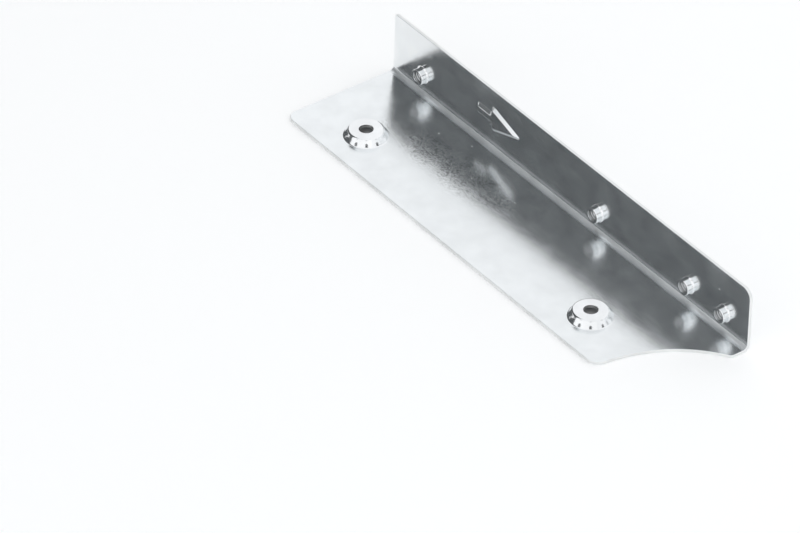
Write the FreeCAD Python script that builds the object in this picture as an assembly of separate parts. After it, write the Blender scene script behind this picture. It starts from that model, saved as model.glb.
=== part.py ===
import FreeCAD, Part
import math
import os

# Drive bay adapter bracket, one folded sheet of plated steel, in millimetres.
# A pair of mirrored brackets carries a 2.5-inch drive between the walls of a 3.5-inch bay.
# +X runs along the fold towards the curved end, +Y faces the wall of the bay and +Z is up.
# The origin lies on the underside of the base, under the middle of the bracket's box.
# Inside the functions X starts at the square end and Y at the outer face of the flange.

# Sheet
sheet_thickness = 0.75
bend_inside_radius = 1.0
flange_height = 15.2

# Threaded holes in the flange, on the side pattern of a 3.5-inch bay
bay_hole_height = 5.1
square_end_margin = 10.1
second_bay_hole_step = 60.0
third_bay_hole_step = 90.0
fourth_bay_hole_step = 101.6
curved_end_margin = 7.8

# Pierced holes in the base, on the underside pattern of a 2.5-inch drive
bay_width = 101.6
drive_hole_span = 61.72
drive_hole_pitch = 76.6
drive_hole_start = 15.65
drive_hole_diameter = 3.1
drive_hole_edge_margin = 9.5

# Drawn dimple that lifts the drive clear of the base
dimple_height = 1.65
dimple_foot_diameter = 9.6
dimple_crown_diameter = 7.7
dimple_foot_radius = 0.3
dimple_crown_radius = 0.35

# Collar drawn out of the flange round each threaded hole
collar_depth = 1.6
collar_diameter = 3.6
thread_core_diameter = 2.5
collar_entry_radius = 0.5
collar_root_radius = 0.35

# Arrow pressed into the flange, pointing to the curved end
arrow_start = 29.0
arrow_tail_length = 4.9
arrow_head_length = 10.4
arrow_tail_width = 2.9
arrow_head_width = 6.75
arrow_axis_height = 8.15
arrow_depth = 0.45
arrow_wall_run = 0.85

# Outline
square_base_corner_radius = 2.5
curved_base_corner_radius = 3.2
tip_corner_radius = 1.3
square_flange_corner_radius = 0.6
curved_flange_corner_radius = 2.2
end_arc_radius = 29.25
end_cut_depth = 13.8
tip_width = 4.8

# Sizes that follow from the ones above
length = square_end_margin + fourth_bay_hole_step + curved_end_margin
drive_hole_offset = (bay_width - drive_hole_span) / 2
base_width = drive_hole_offset + drive_hole_edge_margin
bend_outside_radius = bend_inside_radius + sheet_thickness
bay_hole_steps = [0, second_bay_hole_step, third_bay_hole_step, fourth_bay_hole_step]
bay_hole_places = [square_end_margin + step for step in bay_hole_steps]
drive_hole_places = [drive_hole_start, drive_hole_start + drive_hole_pitch]
up = FreeCAD.Vector(0, 0, 1)
origin = FreeCAD.Vector(0, 0, 0)


def rounded_wire(corners):
    """Closed wire in the XZ plane through (x, z, radius) corners, with a tangent arc at each radius."""
    arrivals = []
    departures = []
    arcs = []
    for index, (x, z, radius) in enumerate(corners):
        corner = FreeCAD.Vector(x, 0, z)
        last_x, last_z, _ = corners[index - 1]
        previous = FreeCAD.Vector(last_x, 0, last_z)
        next_x, next_z, _ = corners[(index + 1) % len(corners)]
        following = FreeCAD.Vector(next_x, 0, next_z)
        back = (previous - corner).normalize()
        ahead = (following - corner).normalize()
        half_angle = back.getAngle(ahead) / 2
        reach = radius / math.tan(half_angle)
        arrivals.append(corner + back * reach)
        departures.append(corner + ahead * reach)
        if radius > 0:
            towards_centre = (back + ahead).normalize()
            middle = corner + towards_centre * (radius / math.sin(half_angle) - radius)
            arcs.append(Part.Arc(arrivals[-1], middle, departures[-1]).toShape())
        else:
            arcs.append(None)
    edges = []
    for index, arc in enumerate(arcs):
        if arc:
            edges.append(arc)
        edges.append(Part.makeLine(departures[index], arrivals[(index + 1) % len(corners)]))
    return Part.Wire(edges)


def folded_strip():
    """The L-shaped section of the sheet, with its bend, drawn out along the whole fold."""
    section = rounded_wire([
        (-base_width, 0, 0),
        (0, 0, bend_outside_radius),
        (0, flange_height, 0),
        (-sheet_thickness, flange_height, 0),
        (-sheet_thickness, sheet_thickness, bend_inside_radius),
        (-base_width, sheet_thickness, 0),
    ])
    section.rotate(origin, up, 90)
    return Part.Face(section).extrude(FreeCAD.Vector(length, 0, 0))


def upright_edge(block, place):
    """The one of the block's upright edges whose middle is nearest to the place."""
    upright = [edge for edge in block.Edges if edge.BoundBox.ZLength > flange_height / 2]
    return min(upright, key=lambda edge: edge.CenterOfMass.distanceToPoint(place))


def plan_block():
    """Everything inside the plan outline: a rectangle with an arc cut out of one end."""
    block = Part.makeBox(length, base_width, flange_height, FreeCAD.Vector(0, -base_width, 0))
    square_corner = FreeCAD.Vector(0, -base_width, flange_height / 2)
    front_corner = FreeCAD.Vector(length - end_cut_depth, -base_width, flange_height / 2)
    tip_corner = FreeCAD.Vector(length, -tip_width, flange_height / 2)
    chord = tip_corner - front_corner
    rise = math.sqrt(end_arc_radius**2 - chord.Length**2 / 4)
    away = FreeCAD.Vector(chord.y, -chord.x, 0).normalize()
    centre = (tip_corner + front_corner) / 2 + away * rise
    centre.z = 0
    block = block.cut(Part.makeCylinder(end_arc_radius, flange_height, centre))
    rounded_corners = [
        (square_corner, square_base_corner_radius),
        (front_corner, curved_base_corner_radius),
        (tip_corner, tip_corner_radius),
    ]
    for corner, radius in rounded_corners:
        block = block.makeFillet(radius, [upright_edge(block, corner)])
    return block


def side_block():
    """Everything inside the side outline: a rectangle with its two top corners rounded."""
    outline = rounded_wire([
        (0, 0, 0),
        (length, 0, 0),
        (length, flange_height, curved_flange_corner_radius),
        (0, flange_height, square_flange_corner_radius),
    ])
    return Part.Face(outline).extrude(FreeCAD.Vector(0, -base_width, 0))


def turned(corners):
    """Ring with the given (radius, height, rounding) section, turned about the Z axis."""
    return Part.Face(rounded_wire(corners)).revolve(origin, up, 360)


def dimple():
    """Drawn cone with its pierced hole, cut out with a collar of flat sheet round its foot."""
    foot = dimple_foot_diameter / 2
    crown = dimple_crown_diameter / 2
    hole = drive_hole_diameter / 2
    slope = math.atan2(dimple_height, foot - crown)
    inward = sheet_thickness * math.tan(slope / 2)
    rim = foot + sheet_thickness
    top = sheet_thickness + dimple_height
    ring = turned([
        (hole, dimple_height, 0),
        (hole, top, 0),
        (crown, top, dimple_crown_radius),
        (foot, sheet_thickness, dimple_foot_radius),
        (rim, sheet_thickness, 0),
        (rim, 0, 0),
        (foot - inward, 0, dimple_foot_radius + sheet_thickness),
        (crown - inward, dimple_height, max(dimple_crown_radius - sheet_thickness, 0)),
    ])
    return ring, Part.makeCylinder(rim, sheet_thickness)


def tapped_collar():
    """Collar drawn out of the sheet to give the thread its length, with flat sheet round its root."""
    core = thread_core_diameter / 2
    outside = collar_diameter / 2
    rim = outside + sheet_thickness
    lip = sheet_thickness + collar_depth
    ring = turned([
        (core, 0, collar_entry_radius),
        (core, lip, 0),
        (outside, lip, 0),
        (outside, sheet_thickness, collar_root_radius),
        (rim, sheet_thickness, 0),
        (rim, 0, 0),
    ])
    return ring, Part.makeCylinder(rim, sheet_thickness)


def arrow_outline(inset, depth):
    """Arrow wire at a depth behind the outer face, drawn in by the inset on every side."""
    tail = arrow_tail_width / 2 - inset
    head = arrow_head_width / 2
    start = arrow_start + inset
    shoulder = arrow_start + arrow_tail_length + inset
    tip = arrow_start + arrow_tail_length + arrow_head_length
    head_slope = math.atan2(head, arrow_head_length)
    tip -= inset / math.sin(head_slope)
    head = (tip - shoulder) * math.tan(head_slope)
    plan = [(start, tail), (shoulder, tail), (shoulder, head), (tip, 0)]
    plan += [(shoulder, -head), (shoulder, -tail), (start, -tail)]
    points = [FreeCAD.Vector(x, -depth, arrow_axis_height + z) for x, z in plan]
    return Part.makePolygon(points + points[:1])


def arrow_form(depth):
    """Arrow with sloping walls, widest at the given depth and pressed on from there."""
    wide = arrow_outline(0, depth)
    narrow = arrow_outline(arrow_wall_run, depth + arrow_depth)
    return Part.makeLoft([wide, narrow], True, True)


def stamped(sheet, feature, places):
    """The sheet with a drawn feature let in at each place, instead of the flat sheet there."""
    ring, blank = feature
    for place in places:
        sheet = sheet.cut(blank.transformed(place.toMatrix()))
        sheet = sheet.fuse(ring.transformed(place.toMatrix()))
    return sheet.removeSplitter()


def bracket():
    """The whole bracket, folded, trimmed, drawn, pierced and stamped."""
    sheet = folded_strip().common(plan_block()).common(side_block())
    upright = FreeCAD.Rotation()
    inward = FreeCAD.Rotation(FreeCAD.Vector(1, 0, 0), 90)
    drive_places = [
        FreeCAD.Placement(FreeCAD.Vector(x, -drive_hole_offset, 0), upright)
        for x in drive_hole_places
    ]
    bay_places = [
        FreeCAD.Placement(FreeCAD.Vector(x, 0, bay_hole_height), inward) for x in bay_hole_places
    ]
    sheet = stamped(sheet, dimple(), drive_places)
    sheet = stamped(sheet, tapped_collar(), bay_places)
    sheet = sheet.cut(arrow_form(0)).fuse(arrow_form(sheet_thickness)).removeSplitter()
    sheet.translate(FreeCAD.Vector(-length / 2, base_width / 2, 0))
    return sheet


os.makedirs("parts", exist_ok=True)
(part,) = bracket().Solids
part.exportStep("parts/bracket.step")
box = part.BoundBox
print("bracket valid", part.isValid(), "volume", round(part.Volume, 1))
print("box", [round(v, 3) for v in (box.XMin, box.YMin, box.ZMin, box.XMax, box.YMax, box.ZMax)])
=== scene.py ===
import logging
import math
from collections.abc import Sequence
from dataclasses import dataclass, field
from enum import Enum
from typing import Any

import bmesh
import bpy
from mathutils import Matrix, Vector
from mathutils.geometry import tessellate_polygon


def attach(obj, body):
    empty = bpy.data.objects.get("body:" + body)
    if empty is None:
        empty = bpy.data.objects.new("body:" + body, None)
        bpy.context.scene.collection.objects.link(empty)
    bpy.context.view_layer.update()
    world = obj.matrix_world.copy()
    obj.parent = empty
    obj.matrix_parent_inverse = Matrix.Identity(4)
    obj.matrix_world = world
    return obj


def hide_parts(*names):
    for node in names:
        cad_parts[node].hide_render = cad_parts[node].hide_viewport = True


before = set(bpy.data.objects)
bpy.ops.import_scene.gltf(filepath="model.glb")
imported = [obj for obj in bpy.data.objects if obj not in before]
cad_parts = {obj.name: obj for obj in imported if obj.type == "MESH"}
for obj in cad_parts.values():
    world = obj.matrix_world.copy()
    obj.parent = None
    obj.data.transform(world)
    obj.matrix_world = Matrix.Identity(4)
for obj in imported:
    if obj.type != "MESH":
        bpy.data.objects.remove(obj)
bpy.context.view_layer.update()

log = logging.getLogger("drive_bay_bracket")

MM = 0.001
NODE = "bracket"
BODY = "root"
SHARP_ANGLE = math.radians(32)
# Two coordinates in millimetres that differ by less are the same.
SAME_PLACE = 1e-6
# A straight is held at both ends if it is longer than this many times the hold.
LONG_STRAIGHT = 5.0

Point = tuple[float, float]
Triple = tuple[float, float, float]
Socket = bpy.types.NodeSocket


class Skin(Enum):
    """The finishes of the sheet, each with its place among the piece's material slots."""

    PLATED = 0
    SHEARED = 1
    # The hollow skin's dark tint is painted shade in the seats' undersides.
    HOLLOW = 2
    DRAWN = 3


def add_object(name: str, data: bpy.types.ID) -> bpy.types.Object:
    """Makes an object of a mesh or a camera, and adds it to the scene.

    Args:
        name: Name of the object.
        data: The mesh or the camera.

    Returns:
        The object.
    """
    piece = bpy.data.objects.new(name, data)
    bpy.context.scene.collection.objects.link(piece)
    return piece


def shade(mesh: bpy.types.Mesh) -> None:
    """Shades a mesh smooth between its sharp edges."""
    mesh.shade_smooth()
    mesh.set_sharp_from_angle(angle=SHARP_ANGLE)


@dataclass(frozen=True)
class Corner:
    """A corner of an outline or a section, in millimetres, with the radius that rounds it."""

    x: float
    y: float
    radius: float = 0.0


@dataclass
class Ring:
    """A row of vertices of the sheet, with their places on the flat blank."""

    verts: list[bmesh.types.BMVert]
    flat: list[Point]

    def part(self, start: int, end: int) -> "Ring":
        """The vertices from one place to another, both included."""
        return Ring(self.verts[start : end + 1], self.flat[start : end + 1])


def arc(centre: Point, radius: float, start: float, end: float, steps: int) -> list[Point]:
    """Points along an arc.

    Args:
        centre: Centre of the arc.
        radius: Its radius.
        start: Angle of the first point, in radians.
        end: Angle of the last point, in radians.
        steps: Number of chords.

    Returns:
        The points, both ends included.
    """
    angles = [start + (end - start) * step / steps for step in range(steps + 1)]
    return [(centre[0] + radius * math.cos(a), centre[1] + radius * math.sin(a)) for a in angles]


def rounded(corners: Sequence[Corner], closed: bool, steps: int) -> list[Point]:
    """A line through corners, with a tangent arc at each corner that has a radius.

    Args:
        corners: The corners in order.
        closed: True for an outline, False for a section with two loose ends.
        steps: Number of chords of each arc.

    Returns:
        The points of the line.
    """
    points: list[Point] = []
    for index, corner in enumerate(corners):
        here = Vector((corner.x, corner.y))
        loose = not closed and index in (0, len(corners) - 1)
        if loose or corner.radius <= 0:
            points.append(tuple(here))
            continue
        before, after = corners[index - 1], corners[(index + 1) % len(corners)]
        back = (Vector((before.x, before.y)) - here).normalized()
        ahead = (Vector((after.x, after.y)) - here).normalized()
        half = back.angle(ahead) / 2
        centre = here + (back + ahead).normalized() * (corner.radius / math.sin(half))
        first = here + back * (corner.radius / math.tan(half)) - centre
        last = here + ahead * (corner.radius / math.tan(half)) - centre
        start = math.atan2(first.y, first.x)
        turn = math.remainder(math.atan2(last.y, last.x) - start, math.tau)
        points += arc(tuple(centre), corner.radius, start, start + turn, steps)
    return points


def held(points: Sequence[Point], hold: float, closed: bool) -> list[Point]:
    """Adds a point near each end of every long straight, so that a flat keeps its shading.

    Args:
        points: The line.
        hold: Distance of the added points from the ends of the straight.
        closed: True if the last point joins the first.

    Returns:
        The line with the added points.
    """
    line: list[Point] = []
    count = len(points)
    for index, point in enumerate(points):
        line.append(point)
        if index == count - 1 and not closed:
            break
        start, end = Vector(point), Vector(points[(index + 1) % count])
        if (end - start).length > LONG_STRAIGHT * hold:
            step = (end - start).normalized() * hold
            line += [tuple(start + step), tuple(end - step)]
    return line


def section_line(corners: Sequence[Corner], steps: int, hold: float) -> list[Point]:
    """Draws a section with two loose ends.

    Args:
        corners: Its corners in order.
        steps: Number of chords of each rounding.
        hold: Distance of the added points from the ends of a straight.

    Returns:
        The points of the section.
    """
    return held(rounded(corners, closed=False, steps=steps), hold, closed=False)


def inward(points: Sequence[Point]) -> list[Vector]:
    """Directions into a closed outline, for drawing it in.

    Args:
        points: The outline, anticlockwise.

    Returns:
        A unit vector for each point.
    """
    directions = []
    for index, point in enumerate(points):
        here = Vector(point)
        back = (here - Vector(points[index - 1])).normalized()
        ahead = (Vector(points[(index + 1) % len(points)]) - here).normalized()
        along = (back + ahead).normalized()
        directions.append(Vector((-along.y, along.x)))
    return directions


def runs_at(ends: Sequence[Point], axis: int, value: float) -> bool:
    """Tells whether a straight of a section keeps one of its coordinates at a value."""
    return all(abs(end[axis] - value) < SAME_PLACE for end in ends)


@dataclass
class Blank:
    """The flat blank of the sheet: its outline, its thickness and the fold across it, in millimetres.

    A place on it is (u, v): u runs along the fold from the square end, v across it from the front
    edge of the base. The third coordinate is the height in the thickness, from the outer face.
    """

    length: float = 119.5
    base_width: float = 29.44
    flange_height: float = 15.2
    thickness: float = 0.75
    inside_radius: float = 1.0
    square_corner_radius: float = 2.5
    front_corner_radius: float = 3.2
    tip_corner_radius: float = 1.3
    flange_square_corner_radius: float = 0.6
    flange_curved_corner_radius: float = 2.2
    end_arc_radius: float = 29.25
    end_cut_depth: float = 13.8
    tip_width: float = 4.8
    fold_band_turn: float = math.radians(25)
    fold_steps: int = 18
    corner_steps: int = 14
    arc_steps: int = 64
    hold: float = 0.06

    @property
    def outside_radius(self) -> float:
        """Radius of the outer face round the fold."""
        return self.inside_radius + self.thickness

    @property
    def fold_middle(self) -> Point:
        """Middle of the dull band on the fold's inner face, as (y, z) in the part's frame."""
        across = self.inside_radius * math.sin(self.fold_band_turn)
        down = self.inside_radius * math.cos(self.fold_band_turn)
        return (self.base_width / 2 - self.outside_radius + across, self.outside_radius - down)

    @property
    def fold_start(self) -> float:
        """Place across the blank where the base ends and the fold starts."""
        return self.base_width - self.outside_radius

    @property
    def fold_end(self) -> float:
        """Place across the blank where the fold ends and the flange starts."""
        middle_radius = self.inside_radius + self.thickness / 2
        return self.fold_start + middle_radius * math.pi / 2

    def on_base(self, x: float, from_flange: float) -> Point:
        """Place on the blank of a point of the base, given its distance from the flange's outer face."""
        return (x, self.base_width - from_flange)

    def on_flange(self, x: float, height: float) -> Point:
        """Place on the blank of a point of the flange, given its height over the base's underside."""
        return (x, self.fold_end + height - self.outside_radius)

    def folded(self, flat: Point, height: float) -> Vector:
        """Where a point of the blank comes to lie once the sheet is folded.

        Args:
            flat: Place on the blank.
            height: Height from the outer face, through the thickness and past it.

        Returns:
            The point in metres, in the part's frame.
        """
        u, v = flat
        if v <= self.fold_start:
            y, z = v - self.base_width, height
        elif v >= self.fold_end:
            y, z = -height, self.outside_radius + v - self.fold_end
        else:
            turn = (v - self.fold_start) / (self.fold_end - self.fold_start) * math.pi / 2
            radius = self.outside_radius - height
            y = radius * math.sin(turn) - self.outside_radius
            z = self.outside_radius - radius * math.cos(turn)
        return Vector((u - self.length / 2, y + self.base_width / 2, z)) * MM

    def end_arc_centre(self) -> Point:
        """Works out the centre of the arc that is cut out of the curved end.

        Returns:
            Its place on the blank.
        """
        tip = Vector(self.on_base(self.length, self.tip_width))
        front = Vector((self.length - self.end_cut_depth, 0.0))
        chord = tip - front
        rise = math.sqrt(self.end_arc_radius**2 - chord.length_squared / 4)
        away = Vector((chord.y, -chord.x)).normalized()
        return tuple((tip + front) / 2 + away * rise)

    def outline(self) -> list[Point]:
        """Draws the blank's outline with its rounded corners.

        Returns:
            The points, anticlockwise from where the fold starts on the square end.
        """
        steps, right = self.corner_steps, math.pi / 2
        centre_x, centre_y = self.end_arc_centre()
        front_radius, tip_radius = self.front_corner_radius, self.tip_corner_radius
        reach = self.end_arc_radius + front_radius
        front = (centre_x - math.sqrt(reach**2 - (centre_y - front_radius) ** 2), front_radius)
        reach = self.end_arc_radius + tip_radius
        tip_x = self.length - tip_radius
        tip = (tip_x, centre_y + math.sqrt(reach**2 - (centre_x - tip_x) ** 2))
        front_angle = math.atan2(centre_y - front[1], centre_x - front[0])
        tip_angle = math.atan2(centre_y - tip[1], centre_x - tip[0])
        square = self.square_corner_radius
        top = self.on_flange(0, self.flange_height)[1]
        low, high = self.flange_square_corner_radius, self.flange_curved_corner_radius
        bend = [
            self.fold_start + (self.fold_end - self.fold_start) * step / self.fold_steps
            for step in range(self.fold_steps + 1)
        ]
        points = [(0.0, self.fold_start)]
        points += arc((square, square), square, 2 * right, 3 * right, steps)
        points += arc(front, front_radius, -right, front_angle, steps)
        points += arc(
            (centre_x, centre_y),
            self.end_arc_radius,
            front_angle + math.pi,
            tip_angle + math.pi,
            self.arc_steps,
        )[1:-1]
        points += arc(tip, tip_radius, tip_angle, 0.0, steps)
        points += [(self.length, v) for v in bend]
        points += arc((self.length - high, top - high), high, 0.0, right, steps)
        points += arc((low, top - low), low, right, 2 * right, steps)
        points += [(0.0, v) for v in reversed(bend[1:])]
        return held(points, self.hold, closed=True)


class Sheet:
    """Gathers the faces of the folded sheet in one mesh."""

    def __init__(self, blank: Blank) -> None:
        """Starts an empty mesh on a blank."""
        self.blank = blank
        self.mesh = bmesh.new()

    def ring(self, flat: Sequence[Point], height: float) -> Ring:
        """A row of vertices at one height of the blank."""
        verts = [self.mesh.verts.new(self.blank.folded(point, height)) for point in flat]
        return Ring(verts, list(flat))

    def strip(self, first: Ring, second: Ring, skin: Skin, closed: bool = True) -> None:
        """Joins two rows of equal length by a strip of faces.

        Args:
            first: One row.
            second: The other row.
            skin: Finish of the faces.
            closed: True where the rows are rings.
        """
        count = len(first.verts)
        for index in range(count if closed else count - 1):
            after = (index + 1) % count
            corners = (
                first.verts[index],
                first.verts[after],
                second.verts[after],
                second.verts[index],
            )
            self.mesh.faces.new(corners).material_index = skin.value

    def strips(
        self,
        rings: Sequence[Ring],
        section: Sequence[Point],
        bare: float,
        skins: tuple[Skin, Skin] = (Skin.PLATED, Skin.PLATED),
    ) -> None:
        """Joins the rings of a swept section, with the cut metal where the section runs at one value.

        Args:
            rings: One ring for each point of the section.
            section: The section's points.
            bare: First coordinate of the section along the cut face.
            skins: Finishes of what stands out of the sheet's faces, before and past the cut face.
        """
        faces = (0.0, self.blank.thickness)
        skin, past = skins
        for index in range(len(rings) - 1):
            ends = section[index : index + 2]
            if runs_at(ends, axis=0, value=bare):
                self.strip(rings[index], rings[index + 1], Skin.SHEARED)
                skin = past
            elif any(runs_at(ends, axis=1, value=face) for face in faces):
                self.strip(rings[index], rings[index + 1], Skin.PLATED)
            else:
                self.strip(rings[index], rings[index + 1], skin)

    def fill(self, outer: Ring, holes: Sequence[Ring] = ()) -> None:
        """Fills a flat with faces, round its holes.

        Args:
            outer: Ring round the flat.
            holes: Rings round what is let into it.
        """
        rings = [outer, *holes]
        verts = [vert for ring in rings for vert in ring.verts]
        outlines = [[Vector((u, v, 0.0)) for u, v in ring.flat] for ring in rings]
        for corners in tessellate_polygon(outlines):
            face = self.mesh.faces.new([verts[corner] for corner in corners])
            face.material_index = Skin.PLATED.value

    def turned(
        self,
        centre: Point,
        section: Sequence[Point],
        bare: float,
        steps: int,
        skins: tuple[Skin, Skin],
    ) -> tuple[Ring, Ring]:
        """Turns a section round an axis that stands on the blank.

        Args:
            centre: Place of the axis on the blank.
            section: Points of (radius, height).
            bare: Radius of the face that was cut.
            steps: Number of chords round the axis.
            skins: Finishes of what stands out of the sheet's faces, before and past the cut face.

        Returns:
            The first and the last ring.
        """
        rings = [
            self.ring(arc(centre, radius, 0.0, math.tau, steps)[:-1], height)
            for radius, height in section
        ]
        self.strips(rings, section, bare, skins)
        return rings[0], rings[-1]


@dataclass
class DriveSeat:
    """Drawn and pierced dimple that carries the drive clear of the base, in millimetres."""

    from_flange: float = 19.94
    height: float = 1.65
    foot_diameter: float = 9.6
    crown_diameter: float = 7.7
    hole_diameter: float = 3.1
    foot_radius: float = 0.3
    crown_radius: float = 0.45
    slant_hollow: float = 0.05
    slant_radius: float = 5.0
    hole_edge_radius: float = 0.08
    rim: float = 0.8
    steps: int = 112
    arc_steps: int = 8

    def section(self, blank: Blank) -> list[Point]:
        """Draws the seat's section on one side of its axis.

        Args:
            blank: The blank.

        Returns:
            Points of (radius, height) from the base's upper face, through the hole, to the underside.
        """
        foot, crown = self.foot_diameter / 2, self.crown_diameter / 2
        hole, low, high = self.hole_diameter / 2, self.height, self.height + blank.thickness
        slope = math.atan2(self.height, foot - crown)
        drawn_in = blank.thickness * math.tan(slope / 2)
        middle_radius = (foot + crown) / 2 - self.slant_hollow * math.sin(slope)
        middle_height = (blank.thickness + high) / 2 - self.slant_hollow * math.cos(slope)
        corners = [
            Corner(foot + self.rim, blank.thickness),
            Corner(foot, blank.thickness, self.foot_radius),
            Corner(middle_radius, middle_height, self.slant_radius),
            Corner(crown, high, self.crown_radius),
            Corner(hole, high, self.hole_edge_radius),
            Corner(hole, low, self.hole_edge_radius / 2),
            Corner(crown - drawn_in, low, self.hole_edge_radius),
            Corner(foot - drawn_in, 0.0, self.foot_radius + blank.thickness),
            Corner(foot + self.rim, 0.0),
        ]
        return section_line(corners, self.arc_steps, blank.hold)

    def add(self, sheet: Sheet, x: float) -> tuple[Ring, Ring]:
        """Lets one seat into the sheet.

        Args:
            sheet: The sheet.
            x: Distance from the square end.

        Returns:
            The rims on the underside and on the upper face.
        """
        centre = sheet.blank.on_base(x, self.from_flange)
        section = self.section(sheet.blank)
        skins = (Skin.DRAWN, Skin.HOLLOW)
        upper, under = sheet.turned(centre, section, self.hole_diameter / 2, self.steps, skins)
        return under, upper


@dataclass
class TappedCollar:
    """Collar drawn out of the flange, which gives the thread its length, in millimetres."""

    height: float = 5.1
    depth: float = 1.6
    outside_diameter: float = 3.6
    core_diameter: float = 2.5
    thread_diameter: float = 3.0
    entry_radius: float = 0.25
    root_radius: float = 0.35
    lip_radius: float = 0.12
    last_turn: float = 0.2
    rim: float = 0.8
    steps: int = 72
    arc_steps: int = 7

    def section(self, blank: Blank) -> list[Point]:
        """Draws the collar's section on one side of its axis.

        Args:
            blank: The blank.

        Returns:
            Points of (radius, height) from the flange's outer face, through the bore, to its inner face.
        """
        outside, core = self.outside_diameter / 2, self.core_diameter / 2
        root, lip = self.thread_diameter / 2, blank.thickness + self.depth
        corners = [
            Corner(outside + self.rim, 0.0),
            Corner(root, 0.0, self.entry_radius),
            Corner(root, lip - 2 * self.last_turn),
            Corner(core, lip - self.last_turn),
            Corner(core, lip, self.lip_radius / 2),
            Corner(outside, lip, self.lip_radius),
            Corner(outside, blank.thickness, self.root_radius),
            Corner(outside + self.rim, blank.thickness),
        ]
        return section_line(corners, self.arc_steps, blank.hold)

    def add(self, sheet: Sheet, x: float) -> tuple[Ring, Ring]:
        """Lets one collar into the sheet.

        Args:
            sheet: The sheet.
            x: Distance from the square end.

        Returns:
            The rims on the flange's outer and inner face.
        """
        centre = sheet.blank.on_flange(x, self.height)
        section = self.section(sheet.blank)
        skins = (Skin.PLATED, Skin.DRAWN)
        return sheet.turned(centre, section, self.thread_diameter / 2, self.steps, skins)


@dataclass
class PressedArrow:
    """Arrow pressed into the flange, sunk in its outer face and raised on the inner, in millimetres."""

    start: float = 29.0
    tail_length: float = 4.9
    head_length: float = 10.4
    tail_width: float = 2.9
    head_width: float = 6.75
    height: float = 8.15
    depth: float = 0.45
    wall_run: float = 0.85
    outer_corner_radius: float = 0.8
    tip_radius: float = 0.4
    inner_corner_radius: float = 0.35
    foot_radius: float = 0.1
    edge_radius: float = 0.6
    rim: float = 0.35
    least_radius: float = 0.04
    arc_steps: int = 6

    def outline(self, blank: Blank, inset: float) -> list[Point]:
        """The arrow's outline, drawn in by an inset on every side.

        Args:
            blank: The blank.
            inset: Distance inward from the foot of the walls.

        Returns:
            The points, with the same number at every inset.
        """
        tail, start = self.tail_width / 2 - inset, self.start + inset
        shoulder = self.start + self.tail_length + inset
        slope = math.atan2(self.head_width / 2, self.head_length)
        tip = self.start + self.tail_length + self.head_length - inset / math.sin(slope)
        head = (tip - shoulder) * math.tan(slope)
        turned_out = max(self.outer_corner_radius - inset, self.least_radius)
        turned_in = max(self.inner_corner_radius + inset, self.least_radius)
        turned_tip = max(self.tip_radius - inset, self.least_radius)
        plan = [
            (start, -tail, turned_out),
            (shoulder, -tail, turned_in),
            (shoulder, -head, turned_out),
            (tip, 0.0, turned_tip),
            (shoulder, head, turned_out),
            (shoulder, tail, turned_in),
            (start, tail, turned_out),
        ]
        corners = [
            Corner(*blank.on_flange(x, self.height + across), radius) for x, across, radius in plan
        ]
        return rounded(corners, closed=True, steps=self.arc_steps)

    def section(self, blank: Blank) -> list[Point]:
        """Draws the wall's section.

        Args:
            blank: The blank.

        Returns:
            Points of (inset, rise) from the rim to the flat of the arrow.
        """
        corners = [
            Corner(-self.rim, 0.0),
            Corner(0.0, 0.0, self.foot_radius),
            Corner(self.wall_run, self.depth, self.edge_radius),
            Corner(self.wall_run + self.rim, self.depth),
        ]
        return section_line(corners, self.arc_steps, blank.hold)

    def add(self, sheet: Sheet) -> tuple[Ring, Ring]:
        """Presses the arrow into the sheet.

        Args:
            sheet: The sheet.

        Returns:
            The rims on the flange's outer and inner face.
        """
        rims = []
        section = self.section(sheet.blank)
        for face in (0.0, sheet.blank.thickness):
            rings = [sheet.ring(self.outline(sheet.blank, d), face + rise) for d, rise in section]
            sheet.strips(rings, section, bare=math.inf)
            sheet.fill(rings[-1])
            rims.append(rings[0])
        return rims[0], rims[1]


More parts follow.
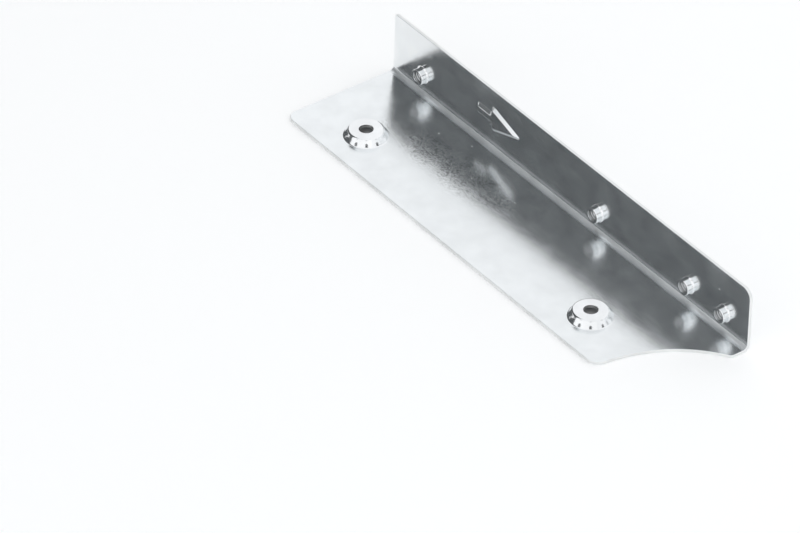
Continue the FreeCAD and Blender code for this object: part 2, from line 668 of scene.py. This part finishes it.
@dataclass
class FoldedBracket:
    """The whole bracket: the folded sheet with its seats, collars and arrow, in millimetres."""

    blank: Blank = field(default_factory=Blank)
    seat: DriveSeat = field(default_factory=DriveSeat)
    collar: TappedCollar = field(default_factory=TappedCollar)
    arrow: PressedArrow = field(default_factory=PressedArrow)
    seat_start: float = 15.65
    seat_pitch: float = 76.6
    collar_start: float = 10.1
    collar_distances: tuple[float, ...] = (0.0, 60.0, 90.0, 101.6)
    rolled_edge_radius: float = 0.06
    burr_edge_radius: float = 0.05
    edge_rim: float = 0.35
    edge_arc_steps: int = 6

    @property
    def seat_places(self) -> tuple[float, ...]:
        """Distances of the seats from the square end."""
        return (self.seat_start, self.seat_start + self.seat_pitch)

    @property
    def seat_centres(self) -> tuple[Point, ...]:
        """Middles of the seats on the table, in metres."""
        flat = [self.blank.on_base(x, self.seat.from_flange) for x in self.seat_places]
        return tuple(tuple(self.blank.folded(place, 0.0).xy) for place in flat)

    @property
    def collar_places(self) -> tuple[float, ...]:
        """Distances of the collars from the square end."""
        return tuple(self.collar_start + distance for distance in self.collar_distances)

    def edge_section(self) -> list[Point]:
        """Draws the sheared edge's section.

        Returns:
            Points of (inset, height) from the inner face to the outer face.
        """
        corners = [
            Corner(self.edge_rim, self.blank.thickness),
            Corner(0.0, self.blank.thickness, self.rolled_edge_radius),
            Corner(0.0, 0.0, self.burr_edge_radius),
            Corner(self.edge_rim, 0.0),
        ]
        return section_line(corners, self.edge_arc_steps, self.blank.hold / 2)

    def build_mesh(self) -> bpy.types.Mesh:
        """Builds the sheet, with all that is let into it.

        Returns:
            One closed mesh.
        """
        blank, sheet = self.blank, Sheet(self.blank)
        outline = blank.outline()
        into = inward(outline)
        section = self.edge_section()
        rings = [
            sheet.ring([tuple(Vector(p) + n * inset) for p, n in zip(outline, into)], height)
            for inset, height in section
        ]
        sheet.strips(rings, section, bare=0.0)
        marks = [
            outline.index(place)
            for place in (
                (blank.length, blank.fold_start),
                (blank.length, blank.fold_end),
                (0.0, blank.fold_end),
            )
        ]
        seats = [self.seat.add(sheet, x) for x in self.seat_places]
        collars = [self.collar.add(sheet, x) for x in self.collar_places]
        arrow = self.arrow.add(sheet)
        outer, inner = 0, 1
        for edge, side in ((rings[0], inner), (rings[-1], outer)):
            base_holes = [rims[side] for rims in seats]
            flange_holes = [rims[side] for rims in (*collars, arrow)]
            self.cover(sheet, edge, marks, base_holes, flange_holes)
        bmesh.ops.recalc_face_normals(sheet.mesh, faces=sheet.mesh.faces)
        mesh = bpy.data.meshes.new("folded_bracket")
        sheet.mesh.to_mesh(mesh)
        sheet.mesh.free()
        shade(mesh)
        return mesh

    def cover(
        self,
        sheet: Sheet,
        edge: Ring,
        marks: Sequence[int],
        base_holes: Sequence[Ring],
        flange_holes: Sequence[Ring],
    ) -> None:
        """Covers one side of the sheet: the base, the fold and the flange.

        Args:
            sheet: The sheet.
            edge: The ring along the edge on this side.
            marks: Where the ring meets the fold, after its first vertex.
            base_holes: Rims in the base.
            flange_holes: Rims in the flange.
        """
        curved_start, curved_end, square_end = marks
        sheet.fill(edge.part(0, curved_start), base_holes)
        sheet.fill(edge.part(curved_end, square_end), flange_holes)
        far = edge.part(curved_start, curved_end)
        verts = [*edge.verts[square_end:], edge.verts[0]]
        flat = [*edge.flat[square_end:], edge.flat[0]]
        near = Ring(verts[::-1], flat[::-1])
        sheet.strip(near, far, Skin.PLATED, closed=False)

    def build(self, finishes: dict[Skin, bpy.types.Material]) -> bpy.types.Object:
        """Makes the bracket's piece with its finishes.

        Args:
            finishes: The material of each skin of the sheet.

        Returns:
            The finished object.
        """
        mesh = self.build_mesh()
        for skin in Skin:
            mesh.materials.append(finishes[skin])
        return add_object("folded_bracket", mesh)


class NodeTree:
    """Adds nodes to a tree with their values and links in one call."""

    # Places of a Mix node's colour sockets, which share their names with its other sockets.
    FIRST_COLOUR = 6
    SECOND_COLOUR = 7
    MIXED_COLOUR = 2

    def __init__(self, tree: bpy.types.NodeTree) -> None:
        """Takes a tree and empties it."""
        self.tree = tree
        self.tree.nodes.clear()

    def add(self, kind: str, values: dict[Any, Any] | None = None, **settings: Any) -> bpy.types.Node:
        """Adds a node.

        Args:
            kind: Name of the node's type.
            values: Input name or number to a value, or to the socket that feeds it.
            settings: Properties of the node.

        Returns:
            The node.
        """
        node = self.tree.nodes.new(kind)
        for name, value in settings.items():
            setattr(node, name, value)
        for name, value in (values or {}).items():
            if isinstance(value, Socket):
                self.tree.links.new(value, node.inputs[name])
            else:
                node.inputs[name].default_value = value
        return node

    def number(self, operation: str, *values: Any) -> Socket:
        """Adds an operation on numbers, each a value or a socket, and returns its result."""
        return self.add("ShaderNodeMath", dict(enumerate(values)), operation=operation).outputs[0]

    def vector(self, operation: str, *values: Any) -> Socket:
        """Adds an operation on vectors, each a value or a socket, and returns its result."""
        node = self.add("ShaderNodeVectorMath", dict(enumerate(values)), operation=operation)
        return node.outputs["Value" if operation in ("DISTANCE", "LENGTH") else "Vector"]

    def ramp(
        self,
        value: Socket,
        start: float,
        end: float,
        low: float = 0.0,
        high: float = 1.0,
        curve: str = "LINEAR",
    ) -> Socket:
        """Adds a ramp that is level before its start and past its end.

        Args:
            value: What the ramp runs over.
            start: Value where it starts.
            end: Value where it ends.
            low: Result at the start.
            high: Result at the end.
            curve: Name of the interpolation between them.

        Returns:
            The result.
        """
        values = {"Value": value, "From Min": start, "From Max": end, "To Min": low, "To Max": high}
        return self.add("ShaderNodeMapRange", values, interpolation_type=curve).outputs[0]

    def blend(self, share: Socket, first: Any, second: Any) -> Socket:
        """Adds a mix of two colours.

        Args:
            share: Share of the second colour.
            first: The first colour, or the socket that feeds it.
            second: The second one.

        Returns:
            The mixed colour.
        """
        values = {"Factor": share, self.FIRST_COLOUR: first, self.SECOND_COLOUR: second}
        return self.add("ShaderNodeMix", values, data_type="RGBA").outputs[self.MIXED_COLOUR]


def node_material(name: str) -> tuple[bpy.types.Material, NodeTree]:
    """Makes a material, and returns it with its empty node tree."""
    material = bpy.data.materials.new(name)
    material.use_nodes = True
    return material, NodeTree(material.node_tree)


@dataclass
class BayHoleThreads:
    """The turns of the screw threads in the collars, made by Geometry Nodes, in millimetres."""

    pitch: float = 0.5
    turns: float = 3.9
    first_turn_height: float = 0.3
    bite: float = 0.02
    crest_share: float = 0.16
    root_share: float = 0.86
    fade_share: float = 0.06
    faded_size: float = 0.15
    points_per_turn: int = 56

    def winding(self, build: NodeTree, given: bpy.types.NodeOutputs) -> Socket:
        """Adds the spiral that the ridge follows, thinned at both its ends.

        Args:
            build: The tree.
            given: The tree's inputs.

        Returns:
            The spiral's curve.
        """
        spiral = build.add(
            "GeometryNodeCurveSpiral",
            {
                "Resolution": self.points_per_turn,
                "Rotations": given["Turns"],
                "Start Radius": given["Root radius"],
                "End Radius": given["Root radius"],
                "Height": build.number("MULTIPLY", given["Pitch"], given["Turns"]),
            },
        )
        upright = build.add("GeometryNodeSetCurveNormal", {"Curve": spiral.outputs[0]}, mode="Z_UP")
        along = build.add("GeometryNodeSplineParameter").outputs["Factor"]
        nearest = build.number("MINIMUM", along, build.number("SUBTRACT", 1.0, along))
        fade = build.ramp(nearest, 0.0, self.fade_share, low=self.faded_size)
        faded = build.add("GeometryNodeSetCurveRadius", {"Curve": upright.outputs[0], "Radius": fade})
        return faded.outputs[0]

    def ridge(self, build: NodeTree, given: bpy.types.NodeOutputs) -> Socket:
        """Adds the section of the ridge, with its root on the spiral.

        Args:
            build: The tree.
            given: The tree's inputs.

        Returns:
            The section's curve.
        """
        depth = build.number("SUBTRACT", given["Root radius"], given["Core radius"])
        section = build.add(
            "GeometryNodeCurvePrimitiveQuadrilateral",
            {
                "Bottom Width": build.number("MULTIPLY", given["Pitch"], self.root_share),
                "Top Width": build.number("MULTIPLY", given["Pitch"], self.crest_share),
                "Height": depth,
                "Offset": 0.0,
            },
            mode="TRAPEZOID",
        )
        lift = build.add("ShaderNodeCombineXYZ", {"Y": build.number("MULTIPLY", depth, 0.5)})
        lifted = build.add(
            "GeometryNodeTransform", {"Geometry": section.outputs[0], "Translation": lift.outputs[0]}
        )
        turned = build.add(
            "GeometryNodeTransform", {"Geometry": lifted.outputs[0], "Rotation": (0.0, 0.0, -math.pi / 2)}
        )
        return turned.outputs[0]

    def tree(self) -> bpy.types.NodeTree:
        """Makes the node tree that winds one ridge and sets a copy of it at every point.

        Returns:
            The tree, with its sizes and its finish as named inputs.
        """
        tree = bpy.data.node_groups.new("thread_turns", "GeometryNodeTree")
        face = tree.interface
        face.new_socket("Geometry", in_out="INPUT", socket_type="NodeSocketGeometry")
        for name in ("Root radius", "Core radius", "Pitch", "Turns"):
            face.new_socket(name, in_out="INPUT", socket_type="NodeSocketFloat")
        face.new_socket("Finish", in_out="INPUT", socket_type="NodeSocketMaterial")
        face.new_socket("Geometry", in_out="OUTPUT", socket_type="NodeSocketGeometry")
        build = NodeTree(tree)
        given = build.add("NodeGroupInput").outputs
        winding, ridge = self.winding(build, given), self.ridge(build, given)
        wound = build.add(
            "GeometryNodeCurveToMesh", {"Curve": winding, "Profile Curve": ridge, "Fill Caps": True}
        )
        placed = build.add(
            "GeometryNodeInstanceOnPoints",
            {
                "Points": given["Geometry"],
                "Instance": wound.outputs[0],
                "Rotation": (math.pi / 2, 0.0, 0.0),
            },
        )
        real = build.add("GeometryNodeRealizeInstances", {"Geometry": placed.outputs[0]})
        dressed = build.add(
            "GeometryNodeSetMaterial", {"Geometry": real.outputs[0], "Material": given["Finish"]}
        )
        build.add("NodeGroupOutput", {"Geometry": dressed.outputs[0]})
        return tree

    def build(self, bracket: FoldedBracket, finish: bpy.types.Material) -> bpy.types.Object:
        """Winds the threads into the bracket's collars.

        Args:
            bracket: The bracket whose collars take them.
            finish: Finish of the threads, whose dark tint is painted shade in the bores.

        Returns:
            The finished object.
        """
        blank, collar = bracket.blank, bracket.collar
        places = [
            blank.folded(blank.on_flange(x, collar.height), self.first_turn_height)
            for x in bracket.collar_places
        ]
        points = bpy.data.meshes.new("thread_places")
        points.from_pydata(places, [], [])
        piece = add_object("bay_hole_threads", points)
        modifier = piece.modifiers.new("thread_turns", "NODES")
        modifier.node_group = self.tree()
        values = {
            "Root radius": (collar.thread_diameter / 2 + self.bite) * MM,
            "Core radius": collar.core_diameter / 2 * MM,
            "Pitch": self.pitch * MM,
            "Turns": self.turns,
            "Finish": finish,
        }
        for socket in modifier.node_group.interface.items_tree:
            if socket.in_out == "INPUT" and socket.name in values:
                modifier[socket.identifier] = values[socket.name]
        bpy.context.view_layer.update()
        evaluated = piece.evaluated_get(bpy.context.evaluated_depsgraph_get())
        mesh = bpy.data.meshes.new_from_object(evaluated)
        piece.modifiers.clear()
        piece.data = mesh
        mesh.name = "bay_hole_threads"
        bpy.data.meshes.remove(points)
        shade(mesh)
        return piece


@dataclass(frozen=True)
class SteelFinish:
    """A metal finish: its tint, its gloss, and the fine marks that break its gloss.

    Sizes, reliefs and places are in millimetres. A range runs from where a pattern starts to show
    to where it shows in full, in values of its noise, or for the soiled spot in shares of its reach.
    The lean is the slope by which a flat is shaded as if it fell towards the flange.
    """

    name: str
    tint: Triple
    roughness: float
    roughness_spread: float
    roughness_range: tuple[float, float] = (0.3, 0.7)
    noise_detail: float = 3.0
    grain_size: float = 0.35
    grain_stretch: float = 14.0
    grain_relief: float = 0.003
    cloud_size: float = 6.0
    cloud_shade: float = 0.1
    cloud_range: tuple[float, float] = (0.35, 0.65)
    speckle_size: float = 0.32
    speckle_relief: float = 0.0
    wave_size: float = 1.6
    wave_relief: float = 0.0
    speck_size: float = 0.45
    speck_shade: float = 0.0
    speck_range: tuple[float, float] = (0.52, 0.6)
    speck_colour: Triple = (0.05, 0.05, 0.05)
    patch_size: float = 5.0
    patch_range: tuple[float, float] = (0.35, 0.5)
    soiled_centre: Triple = (-24.0, 3.0, 0.75)
    soiled_reach: Triple = (26.0, 6.5, 0.4)
    soiled_range: tuple[float, float] = (1.0, 0.5)
    lean: float = 0.0
    fold_middle: Point = (0.0, 0.0)
    fold_roughness: float = 0.0
    fold_near: float = 0.4
    fold_far: float = 1.05
    dust_spacing: float = 5.0
    dust_size: float = 0.16
    dust_roughness: float = 0.5

    @property
    def fold_line(self) -> Triple:
        """Where the middle of the fold's dull band crosses the YZ plane, in metres."""
        return (0.0, self.fold_middle[0] * MM, self.fold_middle[1] * MM)

    def material(self) -> bpy.types.Material:
        """Builds the finish on object coordinates.

        Returns:
            The material.
        """
        material, build = node_material(self.name)
        place = build.add("ShaderNodeTexCoord").outputs["Object"]
        stretched = build.add(
            "ShaderNodeMapping", {"Vector": place, "Scale": (1 / self.grain_stretch, 1.0, 1.0)}
        )
        grain = self.noise(build, stretched.outputs[0], self.grain_size)
        clouds = self.noise(build, place, self.cloud_size)
        shader = build.add(
            "ShaderNodeBsdfPrincipled",
            {
                "Base Color": self.colour(build, place, clouds),
                "Metallic": 1.0,
                "Roughness": self.dullness(build, place, grain, clouds),
                "Normal": self.relief(build, place, grain),
            },
        )
        build.add("ShaderNodeOutputMaterial", {"Surface": shader.outputs[0]})
        return material

    def noise(self, build: NodeTree, place: Socket, size: float) -> Socket:
        """Adds a noise with features of a size in millimetres, and returns its value."""
        values = {"Vector": place, "Scale": 1 / (size * MM), "Detail": self.noise_detail}
        return build.add("ShaderNodeTexNoise", values).outputs["Fac"]

    def colour(self, build: NodeTree, place: Socket, clouds: Socket) -> Socket:
        """Adds the tint, which is dimmed by clouds and soiled by specks.

        Args:
            build: The tree.
            place: Place on the piece.
            clouds: The clouds' noise.

        Returns:
            The colour.
        """
        dim = tuple(channel * (1 - self.cloud_shade) for channel in self.tint)
        lit = build.ramp(clouds, *self.cloud_range)
        clouded = build.blend(lit, (*dim, 1.0), (*self.tint, 1.0))
        soiled = build.number("MULTIPLY", self.specks(build, place), self.speck_shade)
        return build.blend(soiled, clouded, (*self.speck_colour, 1.0))

    def specks(self, build: NodeTree, place: Socket) -> Socket:
        """Adds the handling specks, which lie in patches in the middle of the soiled spot.

        Args:
            build: The tree.
            place: Place on the piece.

        Returns:
            1 on a speck and 0 off it.
        """
        specks = build.ramp(self.noise(build, place, self.speck_size), *self.speck_range)
        patches = build.ramp(self.noise(build, place, self.patch_size), *self.patch_range)
        off_centre = build.vector("SUBTRACT", place, tuple(part * MM for part in self.soiled_centre))
        shares = build.vector("DIVIDE", off_centre, tuple(part * MM for part in self.soiled_reach))
        near = build.ramp(build.vector("LENGTH", shares), *self.soiled_range)
        return build.number("MULTIPLY", build.number("MULTIPLY", specks, patches), near)

    def dullness(self, build: NodeTree, place: Socket, grain: Socket, clouds: Socket) -> Socket:
        """Adds the roughness, which rises on the strained fold and on specks of dust.

        Args:
            build: The tree.
            place: Place on the piece.
            grain: The grain's noise.
            clouds: The clouds' noise.

        Returns:
            The roughness.
        """
        mixed = build.add("ShaderNodeMix", {"Factor": 0.5, "A": grain, "B": clouds}, data_type="FLOAT")
        low, high = self.roughness - self.roughness_spread, self.roughness + self.roughness_spread
        even = build.ramp(mixed.outputs[0], *self.roughness_range, low, high)
        off_fold = build.vector("DISTANCE", self.across(build, place), self.fold_line)
        far, near = self.fold_far * MM, self.fold_near * MM
        strained = build.ramp(off_fold, far, near, high=self.fold_roughness, curve="SMOOTHSTEP")
        cells = build.add(
            "ShaderNodeTexVoronoi", {"Vector": place, "Scale": 1 / (self.dust_spacing * MM)}
        )
        grit = self.dust_size / self.dust_spacing
        dust = build.ramp(cells.outputs["Distance"], grit, grit / 2, high=self.dust_roughness)
        return build.number("ADD", build.number("ADD", even, strained), dust)

    def across(self, build: NodeTree, place: Socket) -> Socket:
        """Adds the place with its X left out, and returns it."""
        apart = build.add("ShaderNodeSeparateXYZ", {"Vector": place}).outputs
        return build.add("ShaderNodeCombineXYZ", {"Y": apart["Y"], "Z": apart["Z"]}).outputs[0]

    def relief(self, build: NodeTree, place: Socket, grain: Socket) -> Socket:
        """Adds the bumps of the grain, the speckle and the waves, on a face that leans a little.

        Args:
            build: The tree.
            place: Place on the piece.
            grain: The grain's noise.

        Returns:
            The bumped normal.
        """
        across = build.add("ShaderNodeSeparateXYZ", {"Vector": place}).outputs["Y"]
        height = build.number("MULTIPLY", across, -self.lean)
        reliefs = (
            (grain, self.grain_relief),
            (self.noise(build, place, self.speckle_size), self.speckle_relief),
            (self.noise(build, place, self.wave_size), self.wave_relief),
        )
        for pattern, rise in reliefs:
            height = build.number("MULTIPLY_ADD", pattern, rise * MM, height)
        return build.add("ShaderNodeBump", {"Height": height, "Distance": 1.0}).outputs[0]


@dataclass(frozen=True)
class Card:
    """A curved card beside the bracket, which its bright metal mirrors.

    It runs between two directions in degrees, counted from the front towards the square end. It
    shines at the foot's level up to the height where it starts to rise to the top's level. Heights
    are in metres.
    """

    name: str
    start: float
    end: float
    height: float
    rise_start: float
    foot_level: float
    top_level: float
    tint: Triple

    def material(self) -> bpy.types.Material:
        """Builds the card's light.

        Returns:
            The material.
        """
        material, build = node_material(self.name)
        place = build.add("ShaderNodeTexCoord").outputs["Object"]
        height = build.add("ShaderNodeSeparateXYZ", {"Vector": place}).outputs["Z"]
        level = build.ramp(height, self.rise_start, self.height, self.foot_level, self.top_level)
        light = build.add("ShaderNodeEmission", {"Color": (*self.tint, 1.0), "Strength": level})
        build.add("ShaderNodeOutputMaterial", {"Surface": light.outputs[0]})
        return material


@dataclass
class Studio:
    """Pale table, soft light and the camera at the photograph's angle, in metres.

    The table glows where it is seen, but not within the shade radius of a seat, whose hole would
    show it. A disc's place is its direction and its elevation in degrees.
    """

    seat_centres: Sequence[Point]
    seat_shade_radius: float = 0.0065
    camera_place: Triple = (0.97577, -0.79357, 0.95156)
    camera_aim: Triple = (-0.004264, -0.026356, 0.0)
    camera_roll: float = math.radians(1.501)
    camera_reach: tuple[float, float] = (0.05, 20.0)
    lens: float = 341.073
    sensor: float = 36.0
    table_size: float = 6.0
    table_drop: float = 0.00005
    table_colour: Triple = (0.95, 0.95, 0.95)
    table_roughness: float = 0.6
    table_shine: float = 0.2
    table_glow: float = 0.2
    sky_colour: Triple = (0.97, 0.985, 1.0)
    sky_strength: float = 1.0
    card_distance: float = 0.9
    card_steps: int = 24
    dark_card: Card = Card(
        "dark_card",
        start=32.0,
        end=106.0,
        height=2.2,
        rise_start=1.4,
        foot_level=0.11,
        top_level=0.9,
        tint=(0.92, 0.98, 1.02),
    )
    white_card: Card = Card(
        "white_card",
        start=-85.0,
        end=25.0,
        height=0.9,
        rise_start=0.0,
        foot_level=1.08,
        top_level=1.08,
        tint=(0.98, 0.99, 1.0),
    )
    disc_places: tuple[Point, ...] = ((-54.0, 29.0), (2.0, 23.0), (-114.0, 22.0))
    disc_distance: float = 0.855
    disc_reach: float = math.radians(6)
    disc_steps: int = 32

    def build_camera(self) -> bpy.types.Object:
        """Places the camera and makes it the scene's own.

        Returns:
            The camera.
        """
        data = bpy.data.cameras.new("camera")
        data.lens, data.sensor_width = self.lens, self.sensor
        data.clip_start, data.clip_end = self.camera_reach
        camera = add_object("camera", data)
        place, aim = Vector(self.camera_place), Vector(self.camera_aim)
        level = (aim - place).to_track_quat("-Z", "Y").to_matrix().to_4x4()
        roll = Matrix.Rotation(self.camera_roll, 4, "Z")
        camera.matrix_world = Matrix.Translation(place) @ level @ roll
        bpy.context.scene.camera = camera
        return camera

    def table_material(self) -> bpy.types.Material:
        """Builds the table's finish, which glows where it is seen, and is clear from below.

        Returns:
            The material.
        """
        material, build = node_material("pale_table")
        paint = build.add(
            "ShaderNodeBsdfPrincipled",
            {
                "Base Color": (*self.table_colour, 1.0),
                "Roughness": self.table_roughness,
                "Specular IOR Level": self.table_shine,
            },
        )
        rays = build.add("ShaderNodeLightPath").outputs
        seen = build.number("MAXIMUM", rays["Is Camera Ray"], rays["Is Glossy Ray"])
        seen = build.number("MAXIMUM", seen, rays["Is Transmission Ray"])
        glow = build.number("MULTIPLY", seen, self.table_glow)
        place = build.add("ShaderNodeTexCoord").outputs["Object"]
        for centre in self.seat_centres:
            off_seat = build.vector("DISTANCE", place, (*centre, 0.0))
            outside = build.number("GREATER_THAN", off_seat, self.seat_shade_radius)
            glow = build.number("MULTIPLY", glow, outside)
        white = build.add("ShaderNodeEmission", {"Strength": glow})
        both = build.add("ShaderNodeAddShader", {0: paint.outputs[0], 1: white.outputs[0]})
        below = build.add("ShaderNodeNewGeometry").outputs["Backfacing"]
        clear = build.add("ShaderNodeBsdfTransparent")
        top = build.add("ShaderNodeMixShader", {0: below, 1: both.outputs[0], 2: clear.outputs[0]})
        build.add("ShaderNodeOutputMaterial", {"Surface": top.outputs[0]})
        return material

    def build_table(self) -> bpy.types.Object:
        """Makes the table top that the bracket lies on.

        Returns:
            The table top's object.
        """
        half, z = self.table_size / 2, -self.table_drop
        corners = [(-half, -half, z), (half, -half, z), (half, half, z), (-half, half, z)]
        mesh = bpy.data.meshes.new("table_top")
        mesh.from_pydata(corners, [], [(0, 1, 2, 3)])
        mesh.materials.append(self.table_material())
        table = add_object("table_top", mesh)
        return table

    def build_sky(self) -> bpy.types.World:
        """Makes the even light round the bracket.

        Returns:
            The scene's world.
        """
        world = bpy.data.worlds.new("studio")
        world.use_nodes = True
        build = NodeTree(world.node_tree)
        light = build.add(
            "ShaderNodeBackground", {"Color": (*self.sky_colour, 1.0), "Strength": self.sky_strength}
        )
        build.add("ShaderNodeOutputWorld", {"Surface": light.outputs[0]})
        bpy.context.scene.world = world
        return world

    def build_card(self, card: Card, discs: Sequence[Point] = ()) -> bpy.types.Object:
        """Makes a curved card, with round cards of the same finish.

        Args:
            card: The card.
            discs: Direction and elevation of each round card, in degrees.

        Returns:
            The cards' object, unseen by the camera.
        """
        middle, radius = (0.0, 0.0), self.card_distance
        start, end = (-math.pi / 2 - math.radians(turn) for turn in (card.start, card.end))
        foot = arc(middle, radius, start, end, self.card_steps)
        verts = [(x, y, z) for x, y in foot for z in (0.0, card.height)]
        faces = [(2 * i, 2 * i + 1, 2 * i + 3, 2 * i + 2) for i in range(self.card_steps)]
        for azimuth, elevation in discs:
            faces.append(tuple(range(len(verts), len(verts) + self.disc_steps)))
            verts += self.disc(math.radians(azimuth), math.radians(elevation))
        mesh = bpy.data.meshes.new(card.name)
        mesh.from_pydata(verts, [], faces)
        mesh.materials.append(card.material())
        piece = add_object(card.name, mesh)
        piece.visible_camera = False
        return piece

    def disc(self, azimuth: float, elevation: float) -> list[Triple]:
        """Draws a round card that faces the bracket.

        Args:
            azimuth: Direction of the card, from the front towards the square end, in radians.
            elevation: Its height over the table, in radians.

        Returns:
            The points of its outline.
        """
        level = math.cos(elevation)
        out = Vector((-level * math.sin(azimuth), -level * math.cos(azimuth), math.sin(elevation)))
        side = out.cross(Vector((0.0, 0.0, 1.0))).normalized()
        up = side.cross(out)
        radius = self.disc_distance * math.tan(self.disc_reach)
        outline = arc((0.0, 0.0), radius, 0.0, math.tau, self.disc_steps)[:-1]
        return [tuple(out * self.disc_distance + side * x + up * y) for x, y in outline]

    def build(self) -> None:
        """Builds the camera, the table and the light."""
        self.build_camera()
        self.build_table()
        self.build_sky()
        self.build_card(self.dark_card, self.disc_places)
        self.build_card(self.white_card)


def skin_finishes(bracket: FoldedBracket) -> dict[Skin, bpy.types.Material]:
    """Builds the finishes of the sheet.

    Args:
        bracket: The bracket, whose fold is duller than its flats.

    Returns:
        The material of each skin.
    """
    plated = SteelFinish(
        "bright_zinc_plate",
        tint=(0.90, 0.92, 0.93),
        roughness=0.2,
        roughness_spread=0.045,
        cloud_shade=0.07,
        lean=0.048,
        speckle_relief=0.008,
        wave_relief=0.008,
        speck_shade=0.38,
        fold_middle=bracket.blank.fold_middle,
        fold_roughness=0.26,
    )
    drawn = SteelFinish(
        "drawn_zinc_plate",
        tint=(0.95, 0.96, 0.97),
        roughness=0.125,
        roughness_spread=0.03,
        speckle_relief=0.004,
        wave_relief=0.006,
    )
    sheared = SteelFinish(
        "sheared_steel",
        tint=(0.86, 0.87, 0.865),
        roughness=0.34,
        roughness_spread=0.06,
        grain_size=0.2,
        dust_size=0.0,
    )
    # Painted shade: the seats' hollow undersides get a tint far darker than the plate, standing in for
    # the shade under the seats.
    hollow = SteelFinish(
        "dull_hollow_painted_shade", tint=(0.5, 0.51, 0.53), roughness=0.5, roughness_spread=0.05
    )
    finishes = {
        Skin.PLATED: plated,
        Skin.SHEARED: sheared,
        Skin.HOLLOW: hollow,
        Skin.DRAWN: drawn,
    }
    return {skin: finish.material() for skin, finish in finishes.items()}


def main() -> None:
    """Builds the bracket and its studio, and reports each piece."""
    logging.basicConfig(level=logging.INFO, format="%(message)s")
    bpy.context.scene.view_settings.view_transform = "Standard"
    bracket = FoldedBracket()
    # Painted shade: the threads get a dark tint so that the bores read dark, standing in for the shade
    # inside the collars.
    tapped = SteelFinish(
        "tapped_steel_painted_shade",
        tint=(0.55, 0.56, 0.57),
        roughness=0.22,
        roughness_spread=0.04,
        dust_size=0.0,
    )
    sheet = bracket.build(skin_finishes(bracket))
    threads = BayHoleThreads().build(bracket, tapped.material())
    pieces = [
        (sheet, "folded sheet with seats, collars and arrow"),
        (threads, "threads in the four collars"),
    ]
    for piece, what in pieces:
        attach(piece, BODY)
        log.info("%s: %s, %d vertices", piece.name, what, len(piece.data.vertices))
    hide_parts(NODE)
    Studio(bracket.seat_centres).build()


if __name__ == "__main__":
    main()
